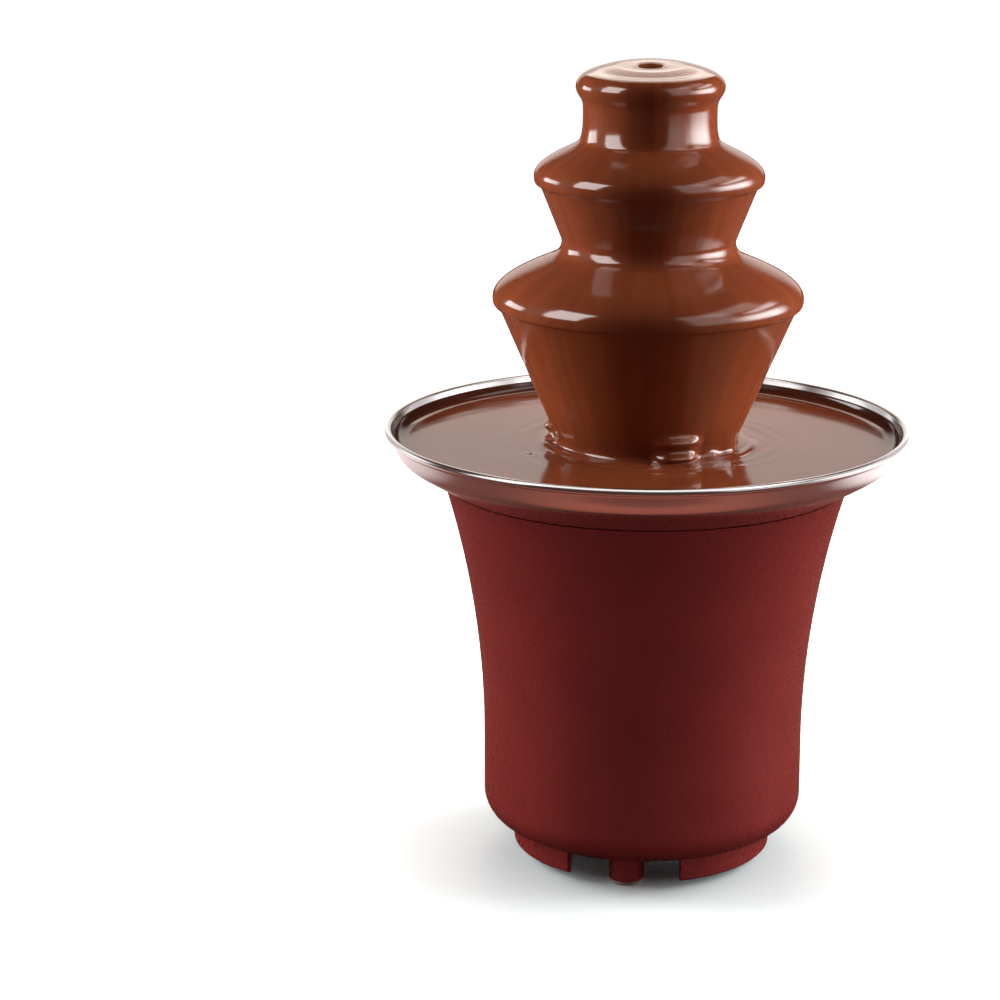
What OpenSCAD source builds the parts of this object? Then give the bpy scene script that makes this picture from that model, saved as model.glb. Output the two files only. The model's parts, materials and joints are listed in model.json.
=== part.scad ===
// Countertop chocolate fountain with a flared housing, a stainless bowl and a three-step tower.
// Millimetres. The origin is on the table under the middle of the base, +Z is up, the front is -Y.
// Turns about the Z axis are counted from the front, growing towards +X.

/* [Housing] */
// Radius of the housing's straight lower part
body_r = 51; // [48:0.5:56]
// Wall of the housing
body_wall = 2.2; // [1.6:0.1:3]
// Height of the housing from its underside to its top edge
body_h = 112.2; // [105:0.1:120]
// Rounding between the housing's side and its underside
body_round = 9.5; // [7:0.5:11]
// Height above the underside where the flare begins
flare_from = 27.5; // [22:0.5:32]
// Radius of the arc that the flare follows
flare_r = 288; // [260:1:330]

/* [Base and feet] */
// Height of the skirt under the housing
skirt_h = 8.2; // [6:0.1:10]
// Clear height between the skirt and the table
skirt_gap = 2.8; // [2:0.1:4]
// Wall of the skirt
skirt_wall = 2.2; // [1.6:0.1:3]
// Thickness of the base plate
plate_t = 2.4; // [1.8:0.1:3.2]
// Step from the skirt's face in to the middle of a foot
foot_in = 9.3; // [8:0.1:11]
// Radius of a foot post
foot_r = 5.4; // [4.5:0.1:6]
// Turn of the first foot from the front
foot_turn = -8; // [-12:1:-4]
// Half of the angle that the skirt leaves open around a foot
notch_half = 26; // [20:1:30]
// Height of a foot pad
pad_h = 1.2; // [0.8:0.1:1.8]
// Radius of a foot pad's plug
pad_plug_r = 2; // [1.5:0.1:2.5]
// Length of a foot pad's plug
pad_plug_h = 4; // [3:0.1:5]
// Step from the skirt's face in to the middle of a screw column
column_in = 6.2; // [5.5:0.1:7]
// Radius of a screw column
column_r = 4.5; // [4:0.1:5]
// Turn of the first screw column from the front
column_turn = 30; // [26:1:34]
// Thickness of the ribs that tie the columns to the wall
rib_t = 2.4; // [1.6:0.1:3]
// Number of vent slots in the base plate
vent_count = 9; // [6:1:12]
// Length of a vent slot
vent_l = 12; // [8:0.5:14]
// Width of a vent slot
vent_w = 3; // [2:0.1:4]
// Distance of a vent slot's middle from the axis
vent_pitch = 17; // [15:0.5:18]

/* [Bowl] */
// Outermost radius of the bowl's rolled rim
rim_r = 82.5; // [78:0.5:90]
// Height of the rim's middle above the housing's top edge
rim_h = 16.4; // [14:0.1:20]
// Radius of the rolled rim's roll
bead_r = 1.2; // [0.9:0.1:1.6]
// Thickness of the bowl's sheet
sheet = 0.8; // [0.6:0.1:1]
// Drop from the housing's top edge to the bowl floor's underside
floor_drop = 4.7; // [4:0.1:6]
// Width of the bend between the bowl's floor and its slope
floor_bend = 8; // [6:0.5:10]
// Inward step from the rim to the foot of the bowl's upright wall
wall_in = 4.3; // [3:0.1:5]
// Height of the bowl's upright wall and its bend under the rim
wall_h = 7.6; // [6:0.1:9]
// Drop from the rim's middle to the chocolate in the bowl
fill_drop = 4.2; // [3:0.1:5]
// Thickness of the seal ring under the bowl
bowl_seal_t = 0.8; // [0.6:0.1:1.2]
// Width of the seal ring under the bowl
bowl_seal_w = 3.6; // [3:0.1:4]
// Thickness of the housing's ledge that carries the bowl
ledge_t = 2.4; // [1.8:0.1:3]
// Width of the ledge inside the seal ring
ledge_in = 5.4; // [5:0.1:6]

/* [Chocolate tower] */
// Radius of the lower tier, chocolate included
low_r = 48.5; // [45:0.5:54]
// Height of the lower tier's widest line above the chocolate in the bowl
low_h = 46.3; // [42:0.1:52]
// Radius of the upper tier, chocolate included
up_r = 35.7; // [33:0.1:39]
// Height of the upper tier's widest line above the lower tier's
up_h = 37.8; // [35:0.1:42]
// Radius of the crown, chocolate included
crown_r = 23; // [21.5:0.1:25]
// Height of the crown's widest line above the upper tier's
crown_h = 27.5; // [25:0.1:30]
// Height of the chocolate's top above the crown's widest line
dome_h = 7.3; // [6:0.1:9]
// Radius of the crown's flat top
dome_flat_r = 10.3; // [9:0.1:12]
// Depth of the dimple in the top
dimple_d = 0.9; // [0.5:0.1:1.4]
// Radius of the dimple in the top
dimple_r = 6; // [4:0.1:8]
// Rise of the lower tier from its widest line to the curtain that lands on it
low_rise = 15.5; // [13:0.1:17]
// Rise of the upper tier from its widest line to the neck that lands on it
up_rise = 11; // [9.5:0.1:12.5]
// Rise of the crown's plastic from its widest line to its top
crown_rise = 3.6; // [3:0.1:4.2]
// Depth of the lip under each tier's widest line
lip_drop = 2.8; // [2.4:0.1:3.4]
// Inward step of that lip to the curtain
lip_in = 1.9; // [1.5:0.1:2.4]
// Depth of the plastic rim inside the lip
rim_drop = 1; // [0.8:0.1:1.2]
// Radius of the neck of chocolate under the crown
neck_r = 20.6; // [19.6:0.1:21.4]
// Radius where the upper curtain lands on the lower tier
land_r = 26.1; // [25:0.1:28]
// Radius of the lower curtain where it meets the bowl's chocolate
foot_curtain_r = 27.8; // [26.5:0.1:31]
// Width and height of the swell at the lower curtain's foot
swell = 3; // [2:0.1:4]
// Thickness of the falling chocolate
curtain_t = 1.4; // [1:0.1:1.8]
// Thickness of the chocolate over a tier
coat_t = 1.7; // [1.3:0.1:2.2]
// Thickness of the tiers' plastic
tier_t = 1.8; // [1.4:0.1:2.2]
// Inner radius of the tower's tube
tube_bore_r = 13.2; // [12.8:0.1:13.6]
// Wall of the tower's tube at its top
tube_wall = 1.4; // [1:0.1:1.8]
// Step of the tube's outside that carries a tier
tube_step = 0.5; // [0.4:0.1:0.7]
// Radius of the tower's foot
tower_foot_r = 22; // [20:0.1:24]
// Thickness of the tower's foot
tower_foot_t = 3; // [2:0.1:4]
// Width of an inlet arch at the tower's foot
arch_w = 13; // [9:0.5:15]
// Height of an inlet arch
arch_h = 10; // [7:0.5:12]
// Height of the sleeve that holds a tier on the tube
sleeve_h = 9; // [7:0.1:11]
// Wall of that sleeve
sleeve_wall = 2; // [1.5:0.1:2.4]

/* [Auger and drive] */
// Outer radius of the auger's flight
flight_r = 12.6; // [12.2:0.05:12.6]
// Height that the flight climbs in a turn
flight_pitch = 22; // [18:1:28]
// Thickness of the flight along the axis
flight_t = 2.4; // [2:0.1:3]
// Radius of the auger's core
core_r = 8.8; // [8.4:0.1:9.4]
// Radius of the drive shaft
shaft_r = 3.5; // [3:0.1:3.8]
// Depth of the flat on the drive shaft
shaft_flat = 0.8; // [0.5:0.1:1]
// Length of the shaft inside the auger's socket
socket_l = 15; // [10:0.5:20]
// Height of the hub's sleeve above the bowl's chocolate
hub_rise = 4.5; // [3:0.1:6]
// Outer radius of the hub's sleeve
hub_r = 6.4; // [6.2:0.1:6.6]
// Thickness of the hub's flange
hub_flange_t = 2.6; // [2:0.1:3.2]
// Radius of the hub's threaded spigot
spigot_r = 8.5; // [8:0.1:9]
// Length of the hub's spigot under the bowl
spigot_l = 12; // [10:0.5:12.5]
// Height of the hub's nut
hub_nut_h = 5; // [4:0.1:6]
// Size across the flats of the hub's nut
hub_nut_af = 24; // [22:0.5:26]
// Thickness of the hub's gasket
hub_gasket_t = 0.8; // [0.5:0.1:1.2]
// Outer radius of the hub's bronze bush
bush_r = 5; // [4.6:0.1:5.2]
// Length of the hub's bronze bush
bush_l = 8; // [6:0.5:10]

/* [Gear motor] */
// Drop from the bowl floor's underside to the top of the motor deck
deck_drop = 16.5; // [15.5:0.1:18]
// Thickness of the motor deck
deck_t = 2; // [1.5:0.1:2.5]
// Radius of the motor deck
deck_r = 43; // [41:0.5:45]
// Radius of the motor's can
can_r = 25; // [24.5:0.1:26]
// Height of the motor's can
can_h = 26; // [25.6:0.1:28]
// Wall of the motor's can
can_wall = 0.9; // [0.7:0.1:1]
// Thickness of the can's end plates and of the gear plate
end_t = 1.3; // [1:0.1:1.5]
// Module of the gears
gear_module = 0.5; // [0.48:0.01:0.52]
// Teeth of the motor's pinion
pinion_teeth = 14; // [13:1:16]
// Teeth of the idler's wheel
wheel_teeth = 36; // [33:1:37]
// Teeth of the idler's pinion
small_teeth = 16; // [14:1:18]
// Width of the gears' faces
gear_w = 2.8; // [2.4:0.1:3]
// Height of the stator's bobbin
bobbin_h = 13; // [12:0.1:13.4]
// Inner radius of the stator's bobbin
bobbin_r = 12; // [11.6:0.1:13]
// Thickness of the bobbin's flanges and core
bobbin_t = 1.3; // [1:0.1:1.6]
// Thickness of the pole ring
pole_t = 1.5; // [1.2:0.1:1.8]
// Number of slots in the pole ring
pole_slots = 8; // [6:1:10]
// Air gap between the magnet and the pole ring
air_gap = 0.5; // [0.4:0.1:0.8]
// Height of the rotor's magnet
magnet_h = 9; // [8:0.1:9.6]
// Radius of the rotor's shaft
rotor_r = 1.2; // [1:0.05:1.4]
// Radius of the idler's pin
idler_pin_r = 1; // [0.8:0.05:1.2]
// Outer radius of the output bush
out_bush_r = 6; // [5.6:0.1:6.4]
// Distance of the motor's screws from the axis
motor_screw_pitch = 18; // [17.5:0.1:18.5]

/* [Heater] */
// Gap between the heating ring and the ledge
heater_gap = 2.4; // [2:0.1:3]
// Radius of the heating ring's tube
heater_r = 3.2; // [2.8:0.1:3.4]
// Angle that the heating ring covers
heater_sweep = 300; // [270:5:310]
// Length of the heating ring's terminals
heater_pin_l = 9; // [7:0.5:10]
// Thickness of the heater's clamp plate
clamp_t = 1.2; // [0.8:0.1:1.6]
// Inner radius of the clamp plate
clamp_in_r = 17; // [16:0.1:17.4]
// Gap between the clamp plate and the ledge
clamp_gap = 1.1; // [0.8:0.1:1.6]
// Step from the heating ring's middle in to the clamp's studs
clamp_stud_in = 8; // [7.6:0.1:8.6]
// Radius of the weld studs
stud_r = 1.5; // [1.2:0.1:1.6]
// Size across the flats of the stud nuts
stud_nut_af = 5.5; // [5:0.1:5.8]
// Height of the stud nuts
stud_nut_h = 2.4; // [2:0.1:2.6]
// Radius of the thermostat's cap
thermo_r = 7; // [6:0.1:7.4]
// Step from the heating ring's middle in to the thermostat
thermo_in = 12; // [11.6:0.1:12.4]
// Radius of the thermal fuse
fuse_r = 1.6; // [1.2:0.1:2]
// Length of the thermal fuse
fuse_l = 12; // [9:0.5:14]

/* [Rear panel] */
// Width of the flat panel at the back
panel_w = 27; // [25:0.5:30]
// Height of the flat panel
panel_h = 48; // [46:0.5:52]
// Height of the panel's lower edge above the housing's underside
panel_from = 7; // [6:0.5:9]
// How far the panel's top stands proud of the wall
panel_proud = 0.3; // [0.2:0.1:0.6]
// Thickness of the panel
panel_t = 5.2; // [4.4:0.1:6]
// Thickness of the legs that hold the panel
hook_t = 1.6; // [1.2:0.1:2]
// How far a leg's hook reaches behind the wall
hook_w = 2; // [1.5:0.1:2.5]
// Height of the panel's legs
hook_h = 30; // [20:1:36]
// Height of the switch's middle above the panel's lower edge
switch_up = 33; // [31:0.5:35]
// Width of the switch's bezel
bezel_w = 15; // [14.5:0.1:16]
// Height of the switch's bezel
bezel_h = 21; // [20.6:0.1:22]
// Thickness of the bezel
bezel_t = 1.8; // [1.4:0.1:2.2]
// Depth of the switch's body behind the bezel
switch_d = 15; // [13.5:0.1:17]
// Wall of the switch's body
switch_wall = 1.3; // [1.1:0.1:1.4]
// Radius of the rocker's pivot
pivot_r = 1.2; // [1:0.05:1.3]
// Depth of the rocker's pivot behind the bezel's face
pivot_in = 4.2; // [3.8:0.1:5]
// Tilt of the rocker to each side
rocker_tilt = 10; // [8:1:12]
// Length of the switch's blades
blade_l = 8; // [6:0.5:9]
// Height of the cord gland's middle above the panel's lower edge
gland_up = 10; // [9.5:0.1:11.5]
// Radius of the gland's bore for the cord
gland_bore_r = 3.4; // [2.8:0.1:3.6]
// Radius of the gland's neck
gland_neck_r = 6; // [5.4:0.1:6.4]
// Radius of the gland's flange
gland_flange_r = 8.5; // [8:0.1:9]
// Thickness of the gland's flange
gland_flange_t = 2; // [1.5:0.1:2.5]
// Height of the gland's nut
gland_nut_h = 4; // [3:0.1:5]

/* [Clearances and screws] */
// Gap between parts that slide or turn past each other
free_gap = 0.3; // [0.2:0.05:0.4]
// Radial gap of a running shaft
run_gap = 0.05; // [0.03:0.01:0.08]
// Gap between parts that sit together
seat_gap = 0.1; // [0.05:0.01:0.15]
// Radius of a screw's shank
screw_r = 1.45; // [1.2:0.05:1.6]
// Radius of a screw's head
screw_head_r = 2.8; // [2.4:0.1:3]
// Height of a screw's head
screw_head_h = 2; // [1.5:0.1:2.2]
// Length of a screw in its column
screw_l = 12; // [8:0.5:14]

/* [Hidden] */
$fn = 96;

// Colours
burgundy = [0.35, 0.11, 0.10];
chocolate = [0.36, 0.16, 0.08];
tower_brown = [0.23, 0.11, 0.07];
steel = [0.80, 0.81, 0.82];
zinc = [0.66, 0.67, 0.68];
black = [0.07, 0.07, 0.07];
grey_rubber = [0.55, 0.52, 0.50];
copper = [0.72, 0.42, 0.25];
bronze = [0.66, 0.50, 0.28];
white_nylon = [0.90, 0.89, 0.85];

// Counts that are the same all round
thirds = 3;
third = 360 / thirds;
curve_steps = 12;
flare_steps = 40;

// Housing and base
under_z = skirt_gap + skirt_h;
body_top_z = under_z + body_h;
flare_z = under_z + flare_from;
opening_r = body_r - body_round;
plate_r = opening_r - free_gap;
foot_pitch = plate_r - foot_in;
column_pitch = plate_r - column_in;
plate_top_z = under_z + plate_t;
top_r = flare_at(body_top_z);
skirt_chamfer = skirt_wall / 3;

// Bowl
floor_z = body_top_z - floor_drop;
floor_top_z = floor_z + sheet;
rim_z = body_top_z + rim_h;
pool_z = rim_z - fill_drop;
bowl_seat = [top_r, body_top_z + 2 * seat_gap];
wall_foot = [rim_r - wall_in, rim_z - wall_h];
wall_top = [rim_r - 2 * bead_r + sheet, rim_z];
slope_dir = (wall_foot - bowl_seat) / norm(wall_foot - bowl_seat);
wall_dir = (wall_top - wall_foot) / norm(wall_top - wall_foot);
floor_corner = bowl_seat - slope_dir * (bowl_seat[1] - floor_z) / slope_dir[1];
bend_pull = floor_bend / 2;
floor_edge_r = floor_corner[0] - bend_pull;
wall_bend = 0.8 * wall_h;
hub_hole_r = spigot_r + seat_gap;
seat_slope = slope_dir[1] / slope_dir[0];
flare_lean = asin((body_top_z - flare_z) / flare_r);
seat_drop = seat_slope * body_wall / cos(flare_lean) / (1 - seat_slope * tan(flare_lean));
seal_in_r = floor_edge_r - bowl_seal_w;
ledge_top_z = floor_z - bowl_seal_t;
ledge_in_r = seal_in_r - ledge_in;
bowl_stud_pitch = seal_in_r - ledge_in / 2;

// Tower and its chocolate
low_z = pool_z + low_h;
up_z = low_z + up_h;
crown_z = up_z + crown_h;
top_z = crown_z + dome_h;
neck_flare = 1.1;
neck_land = [neck_r + neck_flare, up_z + up_rise];
curtain_land = [land_r, low_z + low_rise];
curtain_foot = [foot_curtain_r, pool_z + free_gap];
up_edge = [up_r, up_z];
low_edge = [low_r, low_z];
skin_gap = 2 * seat_gap;
skin = [skin_gap, skin_gap];
tube_r = tube_bore_r + tube_wall;
tube_mid_r = tube_r + tube_step;
tube_low_r = tube_mid_r + tube_step;
tube_top_z = crown_z + crown_rise - tier_t;
tower_z = floor_top_z + free_gap;
low_top = curtain_land - [coat_t, coat_t];
low_rim = [low_r - coat_t, low_z];
up_top = neck_land - [coat_t, coat_t];
up_rim = [up_r - coat_t, up_z];
crown_top = [tube_bore_r + tube_wall / 2, crown_z + crown_rise];
crown_rim = [crown_r - coat_t, crown_z];
low_sleeve_z = low_top[1] - sleeve_h;
up_sleeve_z = up_top[1] - sleeve_h;
crown_sleeve_r = tube_r + seat_gap + sleeve_wall;
pool_in_r = tower_foot_r + free_gap;

// Shape of the chocolate's curves: places of their handles, as lengths and as shares of the curve's size
dome_lead = 0.5;
dome_top_share = 0.18;
dome_side_share = 0.5;
lip_side_share = 0.8;
lip_under_share = 0.3;
crown_flat_share = 0.14;
crown_side_share = 0.69;
crown_lip_h = 2.6;
neck_ease = 0.15;
neck_curl_h = 3.4;
neck_top_h = 6;
neck_mid_h = 10;
neck_land_h = 2;

// Drive
hub_flange_z = floor_top_z + hub_gasket_t;
hub_flange_r = tube_bore_r - free_gap;
hub_top_z = pool_z + hub_rise;
hub_clear_r = shaft_r + 2 * free_gap;
auger_z = hub_flange_z + hub_flange_t + 2 * free_gap;
auger_top_z = tube_top_z - free_gap;
auger_bore_r = hub_r + 2 * free_gap;
socket_z = hub_top_z + 2 * free_gap;
shaft_top_z = socket_z + socket_l;
flight_angle = 360 * flight_t / flight_pitch;
flight_h = auger_top_z - auger_z;
flight_root = 0.5;
flight_slices = round(18 * flight_h / flight_pitch);

// Gear motor
output_teeth = pinion_teeth + wheel_teeth - small_teeth;
pressure_angle = 25;
tooth_ease = 0.05;
gear_pitch = gear_module * (pinion_teeth + wheel_teeth) / 2;
deck_top_z = floor_z - deck_drop;
can_top_z = deck_top_z - deck_t;
can_z = can_top_z - can_h;
can_in_r = can_r - can_wall;
insert_r = can_in_r - seat_gap;
bobbin_z = can_z + end_t;
gear_plate_z = bobbin_z + bobbin_h;
wheel_z = gear_plate_z + end_t + 2 * free_gap;
small_z = wheel_z + gear_w;
out_gear_z = small_z + 3 * free_gap;
out_bush_z = out_gear_z + gear_w + free_gap;
out_bush_top_z = deck_top_z + deck_t / 2;
pole_r = bobbin_r - seat_gap;
magnet_r = pole_r - pole_t - air_gap;
rotor_boss_h = end_t;
magnet_z = bobbin_z + rotor_boss_h + 2 * free_gap;
rotor_top_z = out_gear_z - 2 * free_gap;
rotor_boss_r = 2.5 * rotor_r;
motor_screw_turn = -30;

// Heater
heater_pitch = ledge_in_r - heater_gap - heater_r;
clamp_out_r = ledge_in_r - clamp_gap;
clamp_stud_pitch = heater_pitch - clamp_stud_in;
thermo_pitch = heater_pitch - thermo_in;
heater_z = floor_z - seat_gap - heater_r;
clamp_z = heater_z - heater_r - seat_gap - clamp_t;
heater_start = 90 + (360 - heater_sweep) / 2;
clamp_inset = 10;
heater_pin_r = heater_r / 2;
clamp_stud_turn = 30;
thermo_turn = -60;
thermo_flange_t = 1.2;
fuse_turn = 60;
blade_t = 0.8;
thermo_blade_w = 5;
thermo_blade_l = 5;

// Rear panel
panel_z = under_z + panel_from;
panel_y = flare_at(panel_z + panel_h) + panel_proud;
panel_in_y = panel_y - panel_t;
switch_z = panel_z + switch_up;
bezel_step = 1.1;
switch_half = [bezel_w / 2 - bezel_step, bezel_h / 2 - bezel_step];
pocket_half = [switch_half[0] - switch_wall, switch_half[1] - switch_wall];
rocker_half = [pocket_half[0] - free_gap, pocket_half[1] - 3 * free_gap];
pivot_y = panel_y + bezel_t - pivot_in;
rocker_back = 3.5;
rocker_proud = 0.9;
rocker_dip = 1.3;
pocket_d = pivot_in + rocker_back + rocker_half[1] * sin(rocker_tilt) + free_gap;
blade_w = 4.8;
blade_pitch = 6;
gland_z = panel_z + gland_up;
gland_in_y = panel_in_y - gland_nut_h - 1;
gland_nut_wall = 2.2;

// A cubic curve through a and d that leaves and arrives along b and c
function bezier(a, b, c, d, n = curve_steps) = [
  for (i = [0:n])
    let (t = i / n, u = 1 - t)
      u * u * u * a + 3 * u * u * t * b + 3 * u * t * t * c + t * t * t * d
];

// Points of a path without its first one
function rest(path) = [for (i = [1:len(path) - 1]) path[i]];

// The same path the other way round
function reversed(path) = [for (i = [len(path) - 1:-1:0]) path[i]];

// A path moved to its left by d
function beside(path, d) = [
  for (i = [0:len(path) - 1])
    let (
      a = path[max(i - 1, 0)],
      b = path[min(i + 1, len(path) - 1)],
      t = (b - a) / norm(b - a)
    )
      path[i] + d * [-t[1], t[0]]
];

// Outer radius of the housing at a height
function flare_at(z) = z < flare_z ? body_r
  : body_r + flare_r - sqrt(flare_r * flare_r - pow(z - flare_z, 2));

// The housing's side from its underside up to a height, set in from the outer face
function side_path(inset, z_end) =
  let (round_r = body_round - inset, r = flare_r + inset, last = asin((z_end - flare_z) / r))
    concat(
      [for (i = [0:curve_steps]) let (a = -90 + 90 * i / curve_steps)
        [opening_r + round_r * cos(a), under_z + body_round + round_r * sin(a)]],
      [for (i = [0:flare_steps]) let (a = 180 - last * i / flare_steps)
        [body_r + flare_r + r * cos(a), flare_z + r * sin(a)]]
    );

// The bowl's outer face from its middle hole to the rim
function bowl_path() = concat(
  [[hub_hole_r, floor_z]],
  bezier([floor_edge_r, floor_z], floor_corner, floor_corner, floor_corner + bend_pull * slope_dir),
  bezier(wall_foot - wall_bend * slope_dir, wall_foot, wall_foot, wall_foot + wall_bend * wall_dir),
  [wall_top]
);

// The bulging top of a tier from its inner edge out and down to its rim
function dome(a, b) =
  let (rise = a[1] - b[1])
    bezier(a, a + [dome_lead, -dome_top_share * rise], b + [0, dome_side_share * rise], b);

// The rounded lip under a tier's widest point
function lip(b) =
  let (end = b - [lip_in, lip_drop])
    bezier(b, b - [0, lip_side_share * lip_drop], [b[0] - lip_under_share * lip_in, end[1]], end);

// The inner face of the chocolate over a tier, from under the tier's rim up to its top
function coat_inside(top, rim) = concat(
  [rim + [skin_gap, -rim_drop - skin_gap]],
  reversed(dome(top + skin, rim + [skin_gap, 0]))
);

// Where the inner face of a curtain starts under the lip of the tier that it falls from
function curtain_start(edge) = edge - [lip_in + curtain_t, lip_drop - curtain_t / 2];

// Half section of the chocolate that wells up over the crown and runs down its neck
function crown_section() =
  let (
    edge = [crown_r, crown_z],
    neck_top = [neck_r + neck_ease, crown_z - neck_top_h],
    in_r = neck_r - curtain_t,
    dimple_z = top_z - dimple_d
  )
    concat(
      bezier([0, dimple_z], [dimple_r / 2, dimple_z], [dimple_r / 2, top_z], [dimple_r, top_z]),
      bezier([dome_flat_r, top_z], [dome_flat_r + crown_flat_share * (crown_r - dome_flat_r), top_z],
        [crown_r, crown_z + crown_side_share * dome_h], edge),
      rest(bezier(edge, edge - [0, crown_lip_h], [neck_r + 2 * neck_ease, crown_z - neck_curl_h], neck_top)),
      rest(bezier(neck_top, [neck_r, crown_z - neck_mid_h], [neck_r, neck_land[1] + neck_land_h], neck_land)),
      [up_top + skin, [in_r, neck_land[1] + curtain_t / 2], [in_r, crown_z - lip_drop]],
      coat_inside(crown_top, crown_rim),
      [[0, crown_top[1] + skin_gap]]
    );

// Half section of the chocolate on the upper tier and its curtain
function upper_section() = concat(
  dome(neck_land, up_edge),
  rest(lip(up_edge)),
  [curtain_land, low_top + skin, curtain_land + [-curtain_t, curtain_t / 2], curtain_start(up_edge)],
  coat_inside(up_top, up_rim)
);

// Half section of the chocolate on the lower tier and its curtain, down to the bowl
function lower_section() =
  let (
    way = curtain_foot - low_edge + [lip_in, lip_drop],
    step = swell * way / norm(way)
  )
    concat(
      dome(curtain_land, low_edge),
      rest(lip(low_edge)),
      bezier(curtain_foot - 2 * step, curtain_foot - step, curtain_foot, curtain_foot + [swell, 0]),
      [curtain_foot - [curtain_t, 0], curtain_start(low_edge)],
      coat_inside(low_top, low_rim)
    );

// A tier's half section on a tube of the given radius
function tier_section(top, rim, bore_r) =
  let (
    sleeve_r = bore_r + sleeve_wall,
    low_edge = rim - [tier_t, rim_drop],
    under = dome([max(top[0] - tier_t, sleeve_r + tier_t), top[1] - tier_t], low_edge)
  )
    concat(
      [[bore_r, top[1]]],
      dome(top, rim),
      [rim - [0, rim_drop]],
      reversed(under),
      [[sleeve_r, top[1] - tier_t], [sleeve_r, top[1] - sleeve_h], [bore_r, top[1] - sleeve_h]]
    );

// Involute of an angle, in degrees
function involute(a) = tan(a) * 180 / PI - a;

// Half of the angle that a tooth takes up at radius r
function tooth_half(teeth, r) =
  let (
    pitch_r = gear_module * teeth / 2,
    base_r = pitch_r * cos(pressure_angle),
    a = r > base_r ? acos(base_r / r) : 0
  )
    90 / teeth - tooth_ease / pitch_r * 180 / PI + involute(pressure_angle) - involute(a);

// Outline of a spur gear with a tooth on the +X axis
function gear_outline(teeth) =
  let (
    pitch_r = gear_module * teeth / 2,
    base_r = pitch_r * cos(pressure_angle),
    root_r = pitch_r - 1.25 * gear_module,
    tip_r = pitch_r + gear_module,
    flank = root_r < base_r ? [root_r, base_r, pitch_r, tip_r] : [root_r, pitch_r, tip_r],
    n = len(flank)
  )
    [
      for (i = [0:teeth - 1])
        for (k = [0:2 * n - 1])
          let (
            r = flank[k < n ? k : 2 * n - 1 - k],
            a = 360 * i / teeth + (k < n ? -1 : 1) * tooth_half(teeth, r)
          )
            r * [cos(a), sin(a)]
    ];

// Places the child at a turn from the front and a distance from the axis
module at(turn, r, z = 0) {
  rotate([0, 0, turn])
    translate([0, -r, z])
      children();
}

// Repeats the child in three places round the axis
module all_round(turn, r, z = 0) {
  for (i = [0:thirds - 1])
    at(turn + i * third, r, z)
      children();
}

// A round bar standing at a height, from z to z + h
module rod(r, h) {
  cylinder(r = r, h = h);
}

// A ring with a round bore
module ring(r, bore_r, h) {
  difference() {
    rod(r, h);
    translate([0, 0, -1])
      rod(bore_r, h + 2);
  }
}

// A pan-head screw that points down, with the underside of its head at zero
module screw(l) {
  rod(screw_head_r, screw_head_h);
  translate([0, 0, -l])
    rod(screw_r, l);
}

// A hexagon nut with a round bore
module hex_nut(af, bore_r, h) {
  difference() {
    cylinder(r = af / sqrt(3), h = h, $fn = 6);
    translate([0, 0, -1])
      rod(bore_r, h + 2);
  }
}

// A spur gear
module spur(teeth, h) {
  linear_extrude(height = h)
    polygon(gear_outline(teeth));
}

// Flared one-piece shell with the bowl's ledge, the screw columns and an opening for the rear panel
module housing() {
  seat_z = body_top_z - seat_drop;
  shell = concat(
    side_path(0, body_top_z),
    reversed(side_path(body_wall, seat_z))
  );
  ledge_out_r = flare_at(ledge_top_z - ledge_t) - body_wall / 2;
  column_h = can_top_z - plate_top_z;
  color(burgundy)
    difference() {
      union() {
        rotate_extrude()
          polygon(shell);
        translate([0, 0, ledge_top_z - ledge_t])
          ring(ledge_out_r, ledge_in_r, ledge_t);
        all_round(column_turn, column_pitch, plate_top_z)
          rod(column_r, column_h);
        intersection() {
          rotate_extrude()
            polygon(concat(
              [[0, under_z + body_wall]],
              side_path(body_wall / 2, can_top_z),
              [[0, can_top_z]]
            ));
          all_round(column_turn, column_pitch, plate_top_z)
            translate([-rib_t / 2, -top_r, 0])
              cube([rib_t, top_r, column_h]);
        }
      }
      all_round(column_turn, column_pitch, plate_top_z - 1)
        rod(screw_r + seat_gap, screw_l + 2);
      all_round(column_turn, column_pitch, can_top_z - screw_l - 1)
        rod(screw_r + seat_gap, screw_l + 2);
      all_round(0, bowl_stud_pitch, ledge_top_z - ledge_t - 1)
        rod(stud_r + free_gap, ledge_t + 2);
      translate([-panel_w / 2 - seat_gap, panel_in_y - panel_t, panel_z - seat_gap])
        cube([panel_w + 2 * seat_gap, 3 * panel_t, panel_h + 2 * seat_gap]);
    }
}

// Base plate with the skirt's arcs, the foot posts and the vent slots
module base_plate() {
  skirt = [
    [plate_r - skirt_wall, skirt_gap], [plate_r - skirt_chamfer, skirt_gap],
    [plate_r, skirt_gap + skirt_chamfer], [plate_r, plate_top_z], [plate_r - skirt_wall, plate_top_z]
  ];
  color(burgundy)
    difference() {
      union() {
        translate([0, 0, under_z])
          rod(plate_r, plate_t);
        for (i = [0:thirds - 1])
          rotate([0, 0, foot_turn + notch_half - 90 + i * third])
            rotate_extrude(angle = third - 2 * notch_half)
              polygon(skirt);
        all_round(foot_turn, foot_pitch, pad_h)
          rod(foot_r, under_z + plate_t / 2 - pad_h);
      }
      all_round(foot_turn, foot_pitch, 0)
        rod(pad_plug_r + seat_gap, pad_h + pad_plug_h + seat_gap);
      all_round(column_turn, column_pitch, under_z - 1)
        rod(screw_r + free_gap, plate_t + 2);
      for (i = [0:vent_count - 1])
        at(i * 360 / vent_count, vent_pitch, under_z - 1)
          vent_slot();
    }
}

// A slot with round ends that points away from the axis
module vent_slot() {
  straight = vent_l - vent_w;
  translate([-vent_w / 2, -straight / 2, 0])
    cube([vent_w, straight, plate_t + 2]);
  for (side = [-1, 1])
    translate([0, side * straight / 2, 0])
      rod(vent_w / 2, plate_t + 2);
}

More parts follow.
